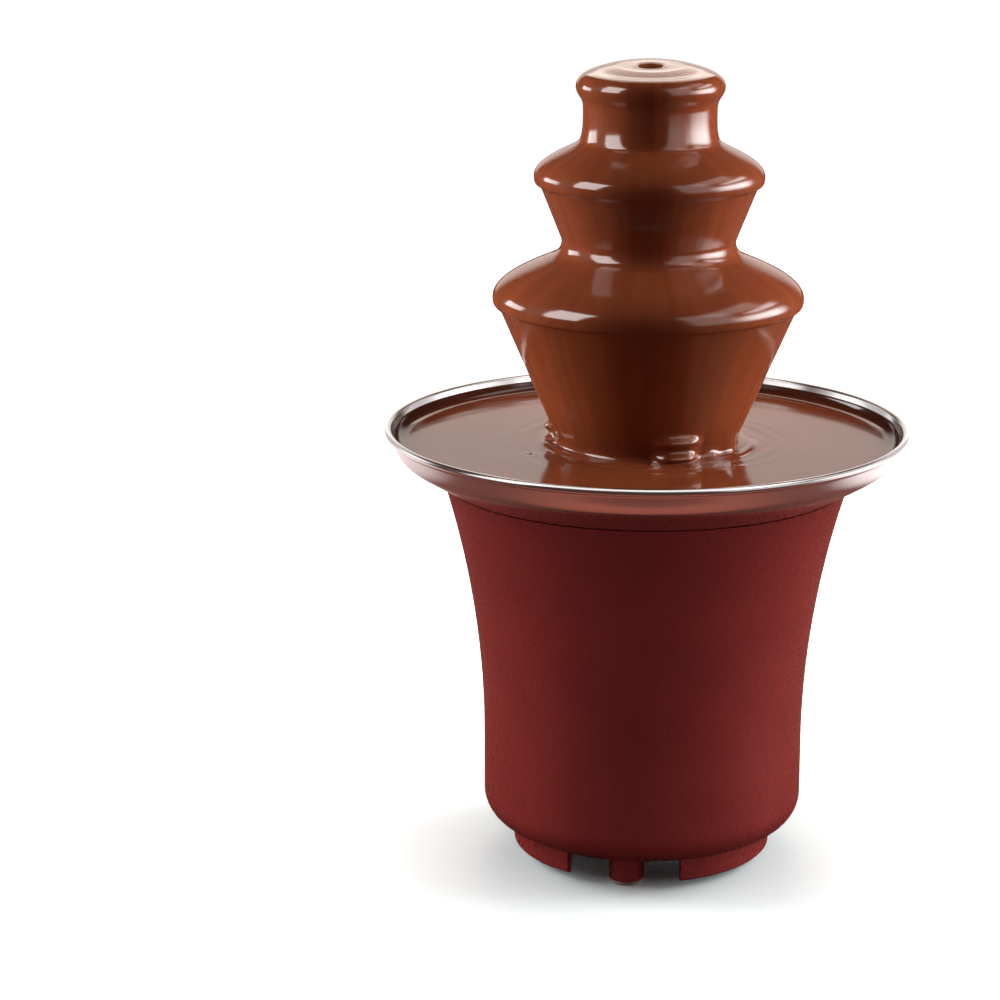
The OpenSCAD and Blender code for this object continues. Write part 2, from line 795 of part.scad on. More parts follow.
// Rubber pad with a plug that pushes into a foot post
module foot_pad(i) {
  color(grey_rubber)
    at(foot_turn + i * third, foot_pitch) {
      rod(foot_r - free_gap, pad_h);
      rod(pad_plug_r, pad_h + pad_plug_h);
    }
}

// Screws that hold the base plate to the columns
module base_screws() {
  color(zinc)
    all_round(column_turn, column_pitch, under_z)
      mirror([0, 0, 1])
        screw(plate_t + screw_l);
}

// Pressed sheet bowl with a rolled rim
module bowl() {
  color(steel) {
    difference() {
      rotate_extrude()
        polygon(concat(bowl_path(), reversed(beside(bowl_path(), sheet))));
      translate([0, 0, floor_z - 1])
        rod(hub_hole_r, sheet + 2);
    }
    rotate_extrude()
      translate([rim_r - bead_r, rim_z])
        circle(r = bead_r);
  }
}

// Seal ring between the bowl's floor and the ledge
module bowl_seal() {
  color(black)
    translate([0, 0, ledge_top_z])
      ring(floor_edge_r, seal_in_r, bowl_seal_t);
}

// Studs welded under the bowl: three for the ledge and three for the heater's clamp
module weld_studs() {
  color(steel) {
    stud_set(0, bowl_stud_pitch, ledge_top_z - ledge_t);
    stud_set(clamp_stud_turn, clamp_stud_pitch, clamp_z);
  }
}

// Three studs that reach through a plate whose underside is at z
module stud_set(turn, pitch, z) {
  end_z = z - stud_nut_h - stud_r / 2;
  all_round(turn, pitch, end_z)
    rod(stud_r, floor_z - end_z);
}

// Nuts on the weld studs
module stud_nuts() {
  color(zinc) {
    all_round(0, bowl_stud_pitch, ledge_top_z - ledge_t - stud_nut_h)
      hex_nut(stud_nut_af, stud_r + seat_gap, stud_nut_h);
    all_round(clamp_stud_turn, clamp_stud_pitch, clamp_z - stud_nut_h)
      hex_nut(stud_nut_af, stud_r + seat_gap, stud_nut_h);
  }
}

// Chocolate standing in the bowl around the tower's foot
module chocolate_pool() {
  hollow = beside(bowl_path(), sheet + seat_gap);
  color(chocolate)
    difference() {
      intersection() {
        rotate_extrude()
          polygon(concat([[0, hollow[0][1]]], hollow, [[0, rim_z]]));
        rod(rim_r, pool_z);
      }
      translate([0, 0, floor_z])
        rod(pool_in_r, rim_z - floor_z);
    }
}

// Flanged hub that carries the shaft through the bowl, with a sleeve above the chocolate
module bowl_hub() {
  color(black)
    difference() {
      union() {
        translate([0, 0, floor_z - spigot_l])
          rod(spigot_r, spigot_l + sheet + hub_gasket_t);
        translate([0, 0, hub_flange_z])
          rod(hub_flange_r, hub_flange_t);
        translate([0, 0, hub_flange_z])
          rod(hub_r, hub_top_z - hub_flange_z);
      }
      translate([0, 0, floor_z - spigot_l - 1])
        rod(hub_clear_r, hub_top_z);
      translate([0, 0, hub_top_z - bush_l])
        rod(bush_r, bush_l + 1);
    }
}

// Gasket under the hub's flange
module hub_gasket() {
  color(grey_rubber)
    translate([0, 0, floor_top_z])
      ring(hub_flange_r, spigot_r + seat_gap, hub_gasket_t);
}

// Nut that draws the hub down on the bowl
module hub_nut() {
  color(black)
    translate([0, 0, floor_z - hub_nut_h])
      hex_nut(hub_nut_af, spigot_r + seat_gap, hub_nut_h);
}

// Bronze bush in the top of the hub
module hub_bush() {
  color(bronze)
    translate([0, 0, hub_top_z - bush_l])
      ring(bush_r, shaft_r + run_gap, bush_l);
}

// Open heating ring with a terminal at each end
module heater_ring() {
  color(zinc)
    rotate([0, 0, heater_start]) {
      rotate_extrude(angle = heater_sweep)
        translate([heater_pitch, heater_z])
          circle(r = heater_r);
      for (a = [0, heater_sweep])
        rotate([0, 0, a])
          translate([heater_pitch, 0, heater_z - heater_pin_l])
            rod(heater_pin_r, heater_pin_l);
    }
}

// Plate that presses the heating ring against the bowl
module heater_clamp() {
  color(steel)
    difference() {
      rotate([0, 0, heater_start + clamp_inset])
        rotate_extrude(angle = heater_sweep - 2 * clamp_inset)
          translate([clamp_in_r, clamp_z])
            square([clamp_out_r - clamp_in_r, clamp_t]);
      all_round(clamp_stud_turn, clamp_stud_pitch, clamp_z - 1)
        rod(stud_r + free_gap, clamp_t + 2);
      at(thermo_turn, thermo_pitch, clamp_z - 1)
        rod(thermo_r + seat_gap, clamp_t + 2);
    }
}

// Disc thermostat that looks through the clamp plate at the bowl
module thermostat() {
  color(black)
    at(thermo_turn, thermo_pitch) {
      translate([0, 0, clamp_z])
        rod(thermo_r, floor_z - seat_gap - clamp_z);
      translate([0, 0, clamp_z - thermo_flange_t])
        rod(thermo_r + 2, thermo_flange_t);
      for (side = [-1, 1])
        translate([-thermo_blade_w / 2, side * thermo_r / 2, clamp_z - thermo_flange_t - thermo_blade_l])
          cube([thermo_blade_w, blade_t, thermo_blade_l]);
    }
}

// Thermal fuse lying under the clamp plate
module thermal_fuse() {
  color(white_nylon)
    at(fuse_turn, clamp_stud_pitch, clamp_z - fuse_r)
      rotate([0, 90, 0])
        translate([0, 0, -fuse_l / 2])
          rod(fuse_r, fuse_l);
}

// Steel deck on the columns that carries the gear motor
module motor_deck() {
  color(zinc)
    difference() {
      translate([0, 0, can_top_z])
        rod(deck_r, deck_t);
      translate([0, 0, can_top_z - 1])
        rod(out_bush_r + 2, deck_t + 2);
      all_round(column_turn, column_pitch, can_top_z - 1)
        rod(screw_r + free_gap, deck_t + 2);
      all_round(motor_screw_turn, motor_screw_pitch, can_top_z - 1)
        rod(screw_r + free_gap, deck_t + 2);
    }
}

// Screws that hold the deck to the columns
module deck_screws() {
  color(zinc)
    all_round(column_turn, column_pitch, deck_top_z)
      screw(deck_t + screw_l - 1);
}

// Screws that hold the motor's can under the deck
module motor_screws() {
  color(zinc)
    all_round(motor_screw_turn, motor_screw_pitch, deck_top_z)
      screw(deck_t + end_t + free_gap);
}

// Deep-drawn can of the gear motor, open below
module motor_can() {
  color(steel)
    difference() {
      translate([0, 0, can_z])
        rod(can_r, can_h);
      translate([0, 0, can_z - 1])
        rod(can_in_r, can_h - end_t + 1);
      translate([0, 0, can_top_z - end_t - 1])
        rod(out_bush_r + seat_gap, end_t + 2);
      all_round(motor_screw_turn, motor_screw_pitch, can_top_z - end_t - 1)
        rod(screw_r + seat_gap, end_t + 2);
    }
}

// Cover that closes the can, with the rotor's lower bearing
module motor_cover() {
  color(zinc)
    difference() {
      union() {
        translate([0, 0, can_z])
          rod(insert_r, end_t);
        translate([0, 0, can_z])
          rod(rotor_boss_r, end_t + rotor_boss_h);
      }
      translate([0, 0, can_z - 1])
        rod(rotor_r + run_gap, end_t + rotor_boss_h + 2);
    }
}

// Plate between the stator and the gears, with the rotor's upper bearing
module gear_plate() {
  color(zinc)
    difference() {
      translate([0, 0, gear_plate_z])
        rod(insert_r, end_t);
      translate([0, 0, gear_plate_z - 1])
        rod(rotor_r + run_gap, end_t + 2);
      translate([gear_pitch, 0, gear_plate_z - 1])
        rod(idler_pin_r + run_gap, end_t + 2);
    }
}

// Bobbin of the stator
module stator_bobbin() {
  color(white_nylon)
    difference() {
      translate([0, 0, bobbin_z])
        rod(insert_r, bobbin_h);
      translate([0, 0, bobbin_z - 1])
        rod(bobbin_r, bobbin_h + 2);
      translate([0, 0, bobbin_z + bobbin_t])
        ring(can_r, bobbin_r + bobbin_t, bobbin_h - 2 * bobbin_t);
    }
}

// Winding on the bobbin
module stator_winding() {
  color(copper)
    translate([0, 0, bobbin_z + bobbin_t])
      ring(insert_r - bobbin_t, bobbin_r + bobbin_t, bobbin_h - 2 * bobbin_t);
}

// Slotted pole ring inside the bobbin
module pole_ring() {
  slot_w = pole_t;
  color(steel)
    difference() {
      translate([0, 0, bobbin_z])
        ring(pole_r, pole_r - pole_t, bobbin_h);
      for (i = [0:pole_slots - 1])
        at(i * 360 / pole_slots, pole_r, bobbin_z + bobbin_t)
          translate([-slot_w / 2, -pole_t, 0])
            cube([slot_w, 3 * pole_t, bobbin_h - 2 * bobbin_t]);
    }
}

// Fixed pin of the idler gear
module idler_pin() {
  color(steel)
    translate([gear_pitch, 0, gear_plate_z])
      rod(idler_pin_r, can_top_z - end_t - gear_plate_z);
}

// Bronze bush where the output shaft leaves the can
module output_bush() {
  color(bronze)
    translate([0, 0, out_bush_z])
      ring(out_bush_r, shaft_r + run_gap, out_bush_top_z - out_bush_z);
}

// Ring magnet of the rotor
module rotor_magnet() {
  color(black)
    translate([0, 0, magnet_z])
      ring(magnet_r, rotor_r + seat_gap / 2, magnet_h);
}

// Shaft of the rotor
module rotor_shaft() {
  color(steel)
    translate([0, 0, can_z])
      rod(rotor_r, rotor_top_z - can_z);
}

// Pinion at the top of the rotor's shaft
module rotor_pinion() {
  color(white_nylon)
    difference() {
      translate([0, 0, wheel_z])
        rotate([0, 0, 180 / pinion_teeth])
          spur(pinion_teeth, gear_w);
      translate([0, 0, wheel_z - 1])
        rod(rotor_r + seat_gap / 2, gear_w + 2);
    }
}

// Idler with a wheel below and a pinion above
module idler_gear() {
  small_h = out_gear_z + gear_w - small_z;
  color(white_nylon)
    translate([gear_pitch, 0, 0])
      difference() {
        union() {
          translate([0, 0, wheel_z])
            rotate([0, 0, 180])
              spur(wheel_teeth, gear_w);
          translate([0, 0, small_z])
            rotate([0, 0, 180])
              spur(small_teeth, small_h);
        }
        translate([0, 0, wheel_z - 1])
          rod(idler_pin_r + run_gap, gear_w + small_h + 2);
      }
}

// Output gear on the drive shaft
module output_gear() {
  color(white_nylon)
    difference() {
      translate([0, 0, out_gear_z])
        rotate([0, 0, 180 / output_teeth])
          spur(output_teeth, gear_w);
      translate([0, 0, out_gear_z - 1])
        rod(shaft_r + seat_gap / 2, gear_w + 2);
    }
}

// Drive shaft with a flat at its upper end
module drive_shaft() {
  color(steel)
    difference() {
      translate([0, 0, out_gear_z])
        rod(shaft_r, shaft_top_z - out_gear_z);
      translate([shaft_r - shaft_flat, -shaft_r, socket_z])
        cube([shaft_r, 2 * shaft_r, socket_l + 1]);
    }
}

// Auger with a helical flight, a bore over the hub's sleeve and a socket with a flat
module auger() {
  turns = [for (i = [0:3]) flight_angle * (i / 3 - 0.5)];
  flight = concat(
    [for (a = turns) flight_r * [cos(a), sin(a)]],
    [for (a = reversed(turns)) (core_r - flight_root) * [cos(a), sin(a)]]
  );
  climb = 360 * flight_h / flight_pitch;
  color(white_nylon) {
    difference() {
      translate([0, 0, auger_z])
        rod(core_r, flight_h);
      translate([0, 0, auger_z - 1])
        rod(auger_bore_r, socket_z - auger_z + 1);
      difference() {
        rod(shaft_r + run_gap, shaft_top_z);
        translate([shaft_r - shaft_flat + run_gap, -shaft_r, 0])
          cube([shaft_r, 2 * shaft_r, shaft_top_z]);
      }
    }
    translate([0, 0, auger_z])
      linear_extrude(height = flight_h, twist = -climb, slices = flight_slices, $fn = 24)
        polygon(flight);
  }
}

// Stepped tube with a foot and inlet arches
module tower_tube() {
  section = [
    [tube_bore_r, tower_z], [tower_foot_r, tower_z], [tower_foot_r, tower_z + tower_foot_t],
    [tube_low_r, tower_z + tower_foot_t], [tube_low_r, low_sleeve_z], [tube_mid_r, low_sleeve_z],
    [tube_mid_r, up_sleeve_z], [tube_r, up_sleeve_z], [tube_r, tube_top_z], [tube_bore_r, tube_top_z]
  ];
  color(tower_brown)
    difference() {
      rotate_extrude()
        polygon(section);
      all_round(0, 0, tower_z + tower_foot_t)
        translate([-arch_w / 2, -tower_foot_r, 0])
          cube([arch_w, tower_foot_r, arch_h]);
    }
}

// Lower tier on the tube's first step
module lower_tier() {
  color(tower_brown)
    rotate_extrude()
      polygon(tier_section(low_top, low_rim, tube_mid_r + seat_gap));
}

// Upper tier on the tube's second step
module upper_tier() {
  color(tower_brown)
    rotate_extrude()
      polygon(tier_section(up_top, up_rim, tube_r + seat_gap));
}

// Crown that caps the tube's end
module crown() {
  section = concat(
    [[tube_bore_r, tube_top_z], [tube_bore_r, crown_top[1]]],
    dome(crown_top, crown_rim),
    [
      crown_rim - [0, rim_drop], crown_rim - [tier_t, rim_drop],
      [crown_sleeve_r, crown_z + crown_rise - 2 * tier_t], [crown_sleeve_r, crown_top[1] - sleeve_h],
      [tube_r + seat_gap, crown_top[1] - sleeve_h], [tube_r + seat_gap, tube_top_z]
    ]
  );
  color(tower_brown)
    rotate_extrude()
      polygon(section);
}

// Chocolate that wells up at the crown and runs down its neck
module crown_flow() {
  color(chocolate)
    rotate_extrude()
      polygon(crown_section());
}

// Chocolate on the upper tier, with the curtain that falls from it
module upper_flow() {
  color(chocolate)
    rotate_extrude()
      polygon(upper_section());
}

// Chocolate on the lower tier, with the curtain that falls into the bowl
module lower_flow() {
  color(chocolate)
    rotate_extrude()
      polygon(lower_section());
}

// Panel at the back that carries the switch and the cord gland, with two legs that hook behind the wall
module rear_panel() {
  hook_y = sqrt(pow(body_r - body_wall, 2) - pow(panel_w / 2 + hook_w, 2)) - free_gap;
  color(burgundy)
    difference() {
      union() {
        translate([-panel_w / 2, panel_in_y, panel_z])
          cube([panel_w, panel_t, panel_h]);
        for (side = [0, 1])
          mirror([side, 0, 0])
            translate([panel_w / 2 - hook_t, hook_y - hook_t, panel_z + (panel_h - hook_h) / 2]) {
              cube([hook_t, panel_in_y - hook_y + 2 * hook_t, hook_h]);
              cube([hook_t + hook_w, hook_t, hook_h]);
            }
      }
      switch_block([switch_half[0] + seat_gap, switch_half[1] + seat_gap], panel_in_y - 1, panel_y + 1);
      translate([0, panel_in_y - 1, gland_z])
        rotate([-90, 0, 0])
          rod(gland_neck_r + seat_gap, panel_t + 2);
    }
}

// Snap-in switch with a bezel and a pocket for the rocker
module switch_frame() {
  color(black)
    difference() {
      union() {
        switch_block([bezel_w / 2, bezel_h / 2], panel_y, panel_y + bezel_t);
        switch_block(switch_half, panel_y - switch_d, panel_y);
      }
      switch_block(pocket_half, panel_y + bezel_t - pocket_d, panel_y + bezel_t + 1);
      translate([-switch_half[0] - 1, pivot_y, switch_z])
        rotate([0, 90, 0])
          rod(pivot_r + run_gap, 2 * switch_half[0] + 2);
    }
}

// A block about the switch's middle, between two depths
module switch_block(half, from_y, to_y) {
  translate([-half[0], from_y, switch_z - half[1]])
    cube([2 * half[0], to_y - from_y, 2 * half[1]]);
}

// Blades of the switch
module switch_blades() {
  color(bronze)
    for (i = [-1:1])
      translate([-blade_w / 2, panel_y - switch_d - blade_l, switch_z + i * blade_pitch - blade_t / 2])
        cube([blade_w, blade_l, blade_t]);
}

// Rocker with three rests, here in its middle one
module switch_rocker() {
  face = rocker_half[1] - free_gap;
  back = rocker_half[1] - 2 * rocker_dip;
  side = [
    [pivot_in + rocker_proud, -face], [pivot_in + rocker_proud - rocker_dip, 0],
    [pivot_in + rocker_proud, face], [0, rocker_half[1]],
    [-rocker_back, back], [-rocker_back, -back], [0, -rocker_half[1]]
  ];
  color(black)
    translate([0, pivot_y, switch_z]) {
      rotate([90, 0, 90])
        translate([0, 0, -rocker_half[0]])
          linear_extrude(height = 2 * rocker_half[0])
            polygon(side);
      rotate([0, 90, 0])
        translate([0, 0, -switch_half[0] + seat_gap])
          rod(pivot_r, 2 * (switch_half[0] - seat_gap));
    }
}

// Flanged gland where the power cord enters
module cord_gland() {
  color(black)
    difference() {
      translate([0, gland_in_y, gland_z])
        rotate([-90, 0, 0]) {
          rod(gland_neck_r, panel_y - gland_in_y);
          translate([0, 0, panel_y - gland_in_y])
            rod(gland_flange_r, gland_flange_t);
        }
      translate([0, gland_in_y - 1, gland_z])
        rotate([-90, 0, 0])
          rod(gland_bore_r, panel_y - gland_in_y + gland_flange_t + 2);
    }
}

// Nut that holds the gland from inside
module gland_nut() {
  color(black)
    translate([0, panel_in_y - gland_nut_h, gland_z])
      rotate([-90, 0, 0])
        hex_nut(2 * (gland_neck_r + gland_nut_wall), gland_neck_r + seat_gap, gland_nut_h);
}

housing();
base_plate();
foot_pad(0);  // foot_pad_1
foot_pad(1);  // foot_pad_2
foot_pad(2);  // foot_pad_3
base_screws();
bowl();
bowl_seal();
weld_studs();
stud_nuts();
chocolate_pool();
bowl_hub();
hub_gasket();
hub_nut();
hub_bush();
heater_ring();
heater_clamp();
thermostat();
thermal_fuse();
motor_deck();
deck_screws();
motor_screws();
motor_can();
motor_cover();
gear_plate();
stator_bobbin();
stator_winding();
pole_ring();
idler_pin();
output_bush();
rotor_magnet();
rotor_shaft();
rotor_pinion();
idler_gear();
output_gear();
drive_shaft();
auger();
tower_tube();
lower_tier();
upper_tier();
crown();
crown_flow();
upper_flow();
lower_flow();
rear_panel();
switch_frame();
switch_blades();
switch_rocker();
cord_gland();
gland_nut();
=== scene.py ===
"""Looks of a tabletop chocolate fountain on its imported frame. Metres, +Z up, the front towards -Y."""

import json
import math

import bpy
import numpy as np
from mathutils import Matrix, Vector


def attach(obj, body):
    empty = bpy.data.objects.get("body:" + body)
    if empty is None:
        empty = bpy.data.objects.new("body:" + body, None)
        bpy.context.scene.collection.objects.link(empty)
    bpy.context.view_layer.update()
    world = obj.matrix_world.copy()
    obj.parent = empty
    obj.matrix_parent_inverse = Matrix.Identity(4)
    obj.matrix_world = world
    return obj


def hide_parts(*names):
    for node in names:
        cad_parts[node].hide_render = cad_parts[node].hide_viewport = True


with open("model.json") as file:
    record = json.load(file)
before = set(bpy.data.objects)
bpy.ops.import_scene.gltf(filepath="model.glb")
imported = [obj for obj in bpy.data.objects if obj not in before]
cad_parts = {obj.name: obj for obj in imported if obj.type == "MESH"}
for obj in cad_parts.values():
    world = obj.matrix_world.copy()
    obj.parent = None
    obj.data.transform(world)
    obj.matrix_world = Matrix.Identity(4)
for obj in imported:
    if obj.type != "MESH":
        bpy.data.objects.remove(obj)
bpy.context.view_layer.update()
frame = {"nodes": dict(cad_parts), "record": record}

# One millimetre in metres, and the columns of each revolved mesh
MM = 0.001
COLUMNS = 720

# Sizes that the looks share with part.scad, in millimetres
POOL_Z, POOL_IN_R = 135.4, 22.3
LOW_R, LOW_Z, LOW_RISE = 48.5, 181.7, 15.5
UP_R, UP_Z, UP_RISE = 35.7, 219.5, 11.0
CROWN_R, CROWN_Z, CROWN_RISE = 23.0, 247.0, 3.6
TOP_Z, FLAT_R = 254.3, 10.3
NECK_R, NECK_LAND_R, LAND_R = 20.6, 21.7, 26.1
FOOT_R, FOOT_SWELL = 27.8, 3.0
LIP_DROP, LIP_IN, RIM_DROP = 2.8, 1.9, 1.0
CURTAIN_T, COAT_T, SKIN_GAP, FREE_GAP = 1.4, 1.7, 0.2, 0.3
TUBE_END_R = 13.9
RIM_R, RIM_Z, BEAD_R, SHEET = 82.5, 139.6, 1.2, 0.8
BOWL_FLOOR_Z, BOWL_SEAT, HUB_HOLE_R = 118.5, (63.74, 123.4), 8.6
WALL_FOOT, WALL_TOP, WALL_BEND, FLOOR_BEND = (78.2, 132.0), (80.9, 139.6), 6.08, 4.0

# Sizes of the looks alone, in millimetres. CROWN_TILT is a slope and FILLET_START a share of the upper fall.
DIMPLE_R, DIMPLE_D = 5.6, 2.4
CROWN_TILT, CROWN_BACK_R = 0.085, 12.0
FILLET_R, FILLET_IN_R, FILLET_START = 29.3, 27.3, 0.84
RIPPLED_R = 46.0
FILM_START_R, FILM_BEND, FILM_TOP = 75.0, ((77.4, POOL_Z), (78.5, 136.3)), (79.3, 138.6)
FILM_EDGE = (79.45, 138.7)


# Curves and revolved meshes

def bezier(a, b, c, d, n=16):
    """Points of a cubic curve from a to d."""
    t = np.linspace(0, 1, n + 1)[:, None]
    u = 1 - t
    a, b, c, d = (np.array(p, float) for p in (a, b, c, d))
    return u**3 * a + 3 * u * u * t * b + 3 * u * t * t * c + t**3 * d


def line(a, b, n):
    """Points of a straight line, both ends included."""
    t = np.linspace(0, 1, n + 1)[:, None]
    return (1 - t) * np.array(a, float) + t * np.array(b, float)


def dome(a, b, n=28):
    """The bulging top of a tier from its inner edge out and down to its rim."""
    rise = a[1] - b[1]
    return bezier(a, (a[0] + 0.5, a[1] - 0.18 * rise), (b[0], b[1] + 0.5 * rise), b, n)


def lip(b):
    """The rounded lip under a tier's widest line."""
    end = (b[0] - LIP_IN, b[1] - LIP_DROP)
    return bezier(b, (b[0], b[1] - 0.8 * LIP_DROP), (b[0] - 0.3 * LIP_IN, end[1]), end, 12)


def bell(x, middle, width):
    """A smooth bump that is 1 at the middle."""
    return np.exp(-((x - middle) / width) ** 2)


def ramp(x, start, end):
    """A smooth step from 0 at start to 1 at end."""
    t = np.clip((x - start) / (end - start), 0, 1)
    return t * t * (3 - 2 * t)


def turns(count):
    """Angles in degrees all round, counted from the front towards +X, from -180 up."""
    return np.arange(count) * 360 / count - 180


def new_piece(name, vertices, faces):
    """A smooth-shaded mesh object."""
    mesh = bpy.data.meshes.new(name)
    mesh.from_pydata(vertices, [], faces)
    mesh.polygons.foreach_set("use_smooth", [True] * len(mesh.polygons))
    mesh.update()
    piece = bpy.data.objects.new(name, mesh)
    bpy.context.scene.collection.objects.link(piece)
    return piece


def revolved(name, radius, height, ends=None):
    """A closed skin from grids of radius and height in millimetres, a row for each profile point and a column
    for each of turns(). ends are the heights of the first and last point where the profile ends on the axis;
    without them the last row joins the first."""
    rows, columns = radius.shape
    angle = np.radians(turns(columns))
    points = np.stack([radius * np.sin(angle), -radius * np.cos(angle), height], -1).reshape(-1, 3) * MM
    index = np.arange(rows * columns).reshape(rows, columns)
    beside = np.roll(index, -1, axis=1)
    below, below_beside = (np.roll(g, -1, axis=0) for g in (index, beside))
    last = rows if ends is None else rows - 1
    faces = np.stack([index, below, below_beside, beside], -1)[:last].reshape(-1, 4).tolist()
    vertices = points.tolist()
    if ends is not None:
        vertices += [(0, 0, ends[0] * MM), (0, 0, ends[1] * MM)]
        first, final = len(points), len(points) + 1
        faces += [(first, a, b) for a, b in zip(index[0].tolist(), beside[0].tolist())]
        faces += [(final, b, a) for a, b in zip(index[-1].tolist(), beside[-1].tolist())]
    return new_piece(name, vertices, faces)


# Materials

def add(tree, kind, inputs=None, **settings):
    """A new node. inputs maps a socket's name or number to a value or to the socket that feeds it."""
    node = tree.nodes.new(kind)
    for key, value in settings.items():
        setattr(node, key, value)
    for key, value in (inputs or {}).items():
        if isinstance(value, bpy.types.NodeSocket):
            tree.links.new(value, node.inputs[key])
        else:
            node.inputs[key].default_value = value
    return node


def new_material(name, **values):
    """A material with a principled shader whose plain values are set on its own sockets."""
    material = bpy.data.materials.new(name)
    material.use_nodes = True
    shader = material.node_tree.nodes["Principled BSDF"]
    for key, value in values.items():
        shader.inputs[key.replace("_", " ")].default_value = value
    return material, material.node_tree, shader


def place(tree):
    """The point's place in the part's frame, in metres. For the world it is the ray's direction."""
    return add(tree, "ShaderNodeTexCoord").outputs["Object"]


def off_axis(tree):
    """The point's distance from the part's axis, in metres."""
    level = add(tree, "ShaderNodeVectorMath", {0: place(tree), 1: (1, 1, 0)}, operation="MULTIPLY").outputs[0]
    return add(tree, "ShaderNodeVectorMath", {0: level}, operation="LENGTH").outputs["Value"]


def round_place(tree, around, out, up):
    """The point's turn, radius and height, each stretched for a texture that runs round the axis."""
    xyz = add(tree, "ShaderNodeSeparateXYZ", {0: place(tree)}).outputs
    front = add(tree, "ShaderNodeMath", {0: xyz["Y"], 1: -1.0}, operation="MULTIPLY").outputs[0]
    turn = add(tree, "ShaderNodeMath", {0: xyz["X"], 1: front}, operation="ARCTAN2").outputs[0]
    parts = add(tree, "ShaderNodeCombineXYZ", {"X": turn, "Y": off_axis(tree), "Z": xyz["Z"]}).outputs[0]
    stretch = {0: parts, 1: (around, out, up)}
    return add(tree, "ShaderNodeVectorMath", stretch, operation="MULTIPLY").outputs[0]


def noise(tree, vector, scale, detail=3.0, rough=0.5):
    """Grey noise around one half."""
    inputs = {"Vector": vector, "Scale": scale, "Detail": detail, "Roughness": rough}
    return add(tree, "ShaderNodeTexNoise", inputs).outputs["Fac"]


def spread(tree, value, low, high):
    """Noise stretched from low to high."""
    inputs = {"Value": value, "From Min": 0.3, "From Max": 0.7, "To Min": low, "To Max": high}
    return add(tree, "ShaderNodeMapRange", inputs).outputs["Result"]


def mixed(tree, factor, first, second):
    """A colour from first at factor 0 to second at factor 1. Each is a colour or the socket that gives it."""
    first, second = ((*c, 1) if isinstance(c, tuple) else c for c in (first, second))
    inputs = {"Factor": factor, 6: first, 7: second}
    return add(tree, "ShaderNodeMix", inputs, data_type="RGBA").outputs[2]


def tint(tree, value, dark, light):
    """A colour that noise varies from dark to light."""
    return mixed(tree, spread(tree, value, 0, 1), dark, light)


def bump(tree, shader, value, depth):
    """Relief of the given depth in metres."""
    relief = add(tree, "ShaderNodeBump", {"Height": value, "Distance": depth, "Strength": 1.0})
    tree.links.new(relief.outputs["Normal"], shader.inputs["Normal"])


def shade(colour, factor):
    """A colour made darker or lighter."""
    return tuple(min(1.0, c * factor) for c in colour)


def moulded(name, colour, rough, grain, depth, uneven=0.05, **values):
    """Moulded plastic or rubber with a fine grain of the given size, slight blotches and uneven gloss."""
    material, tree, shader = new_material(name, **values)
    fine = noise(tree, place(tree), 1 / grain)
    broad = noise(tree, place(tree), 45.0)
    tree.links.new(tint(tree, broad, shade(colour, 0.92), shade(colour, 1.07)), shader.inputs["Base Color"])
    tree.links.new(spread(tree, fine, rough - uneven, rough + uneven), shader.inputs["Roughness"])
    bump(tree, shader, fine, depth)
    return material


def turned_metal(name, colour, rough, lines, depth):
    """Metal with fine lines that run round the axis, as from spinning and polishing."""
    material, tree, shader = new_material(name, Metallic=1.0)
    fine = noise(tree, round_place(tree, 3.0, lines, lines), 1.0, 4.0, 0.6)
    broad = noise(tree, place(tree), 30.0)
    tree.links.new(tint(tree, broad, shade(colour, 0.94), shade(colour, 1.04)), shader.inputs["Base Color"])
    tree.links.new(spread(tree, fine, rough * 0.7, rough * 1.4), shader.inputs["Roughness"])
    bump(tree, shader, fine, depth)
    return material


def cast_metal(name, colour, rough, grain, depth):
    """Metal with a fine even grain and slight stains."""
    material, tree, shader = new_material(name, Metallic=1.0)
    fine = noise(tree, place(tree), 1 / grain)
    broad = noise(tree, place(tree), 70.0)
    tree.links.new(tint(tree, broad, shade(colour, 0.85), shade(colour, 1.05)), shader.inputs["Base Color"])
    tree.links.new(spread(tree, broad, rough - 0.06, rough + 0.06), shader.inputs["Roughness"])
    bump(tree, shader, fine, depth)
    return material


def chocolate(name, colour, rough):
    """Melted chocolate: glossy, with faint streaks that run down with the flow. Its film on the bowl's wall
    is painted a quarter as bright, a painted dark reflection of the pool and the dark studio that the wet
    wall mirrors."""
    material, tree, shader = new_material(name, IOR=1.47, Specular_IOR_Level=0.5)
    streaks = noise(tree, round_place(tree, 9.0, 30.0, 12.0), 1.0, 4.0, 0.55)
    broad = noise(tree, place(tree), 28.0)
    deep = tint(tree, streaks, shade(colour, 0.88), shade(colour, 1.12))
    # The film on the bowl's wall fades to a quarter of the chocolate's colour: painted dark reflection, not a
    # darker chocolate
    start, end = (r * MM for r in (FILM_START_R + 0.5, FILM_TOP[0] - 1.0))
    wall = {"Value": off_axis(tree), "From Min": start, "From Max": end}
    film = add(tree, "ShaderNodeMapRange", wall).outputs["Result"]
    tree.links.new(mixed(tree, film, deep, shade(colour, 0.25)), shader.inputs["Base Color"])
    tree.links.new(spread(tree, broad, rough - 0.02, rough + 0.03), shader.inputs["Roughness"])
    bump(tree, shader, streaks, 0.00003)
    return material


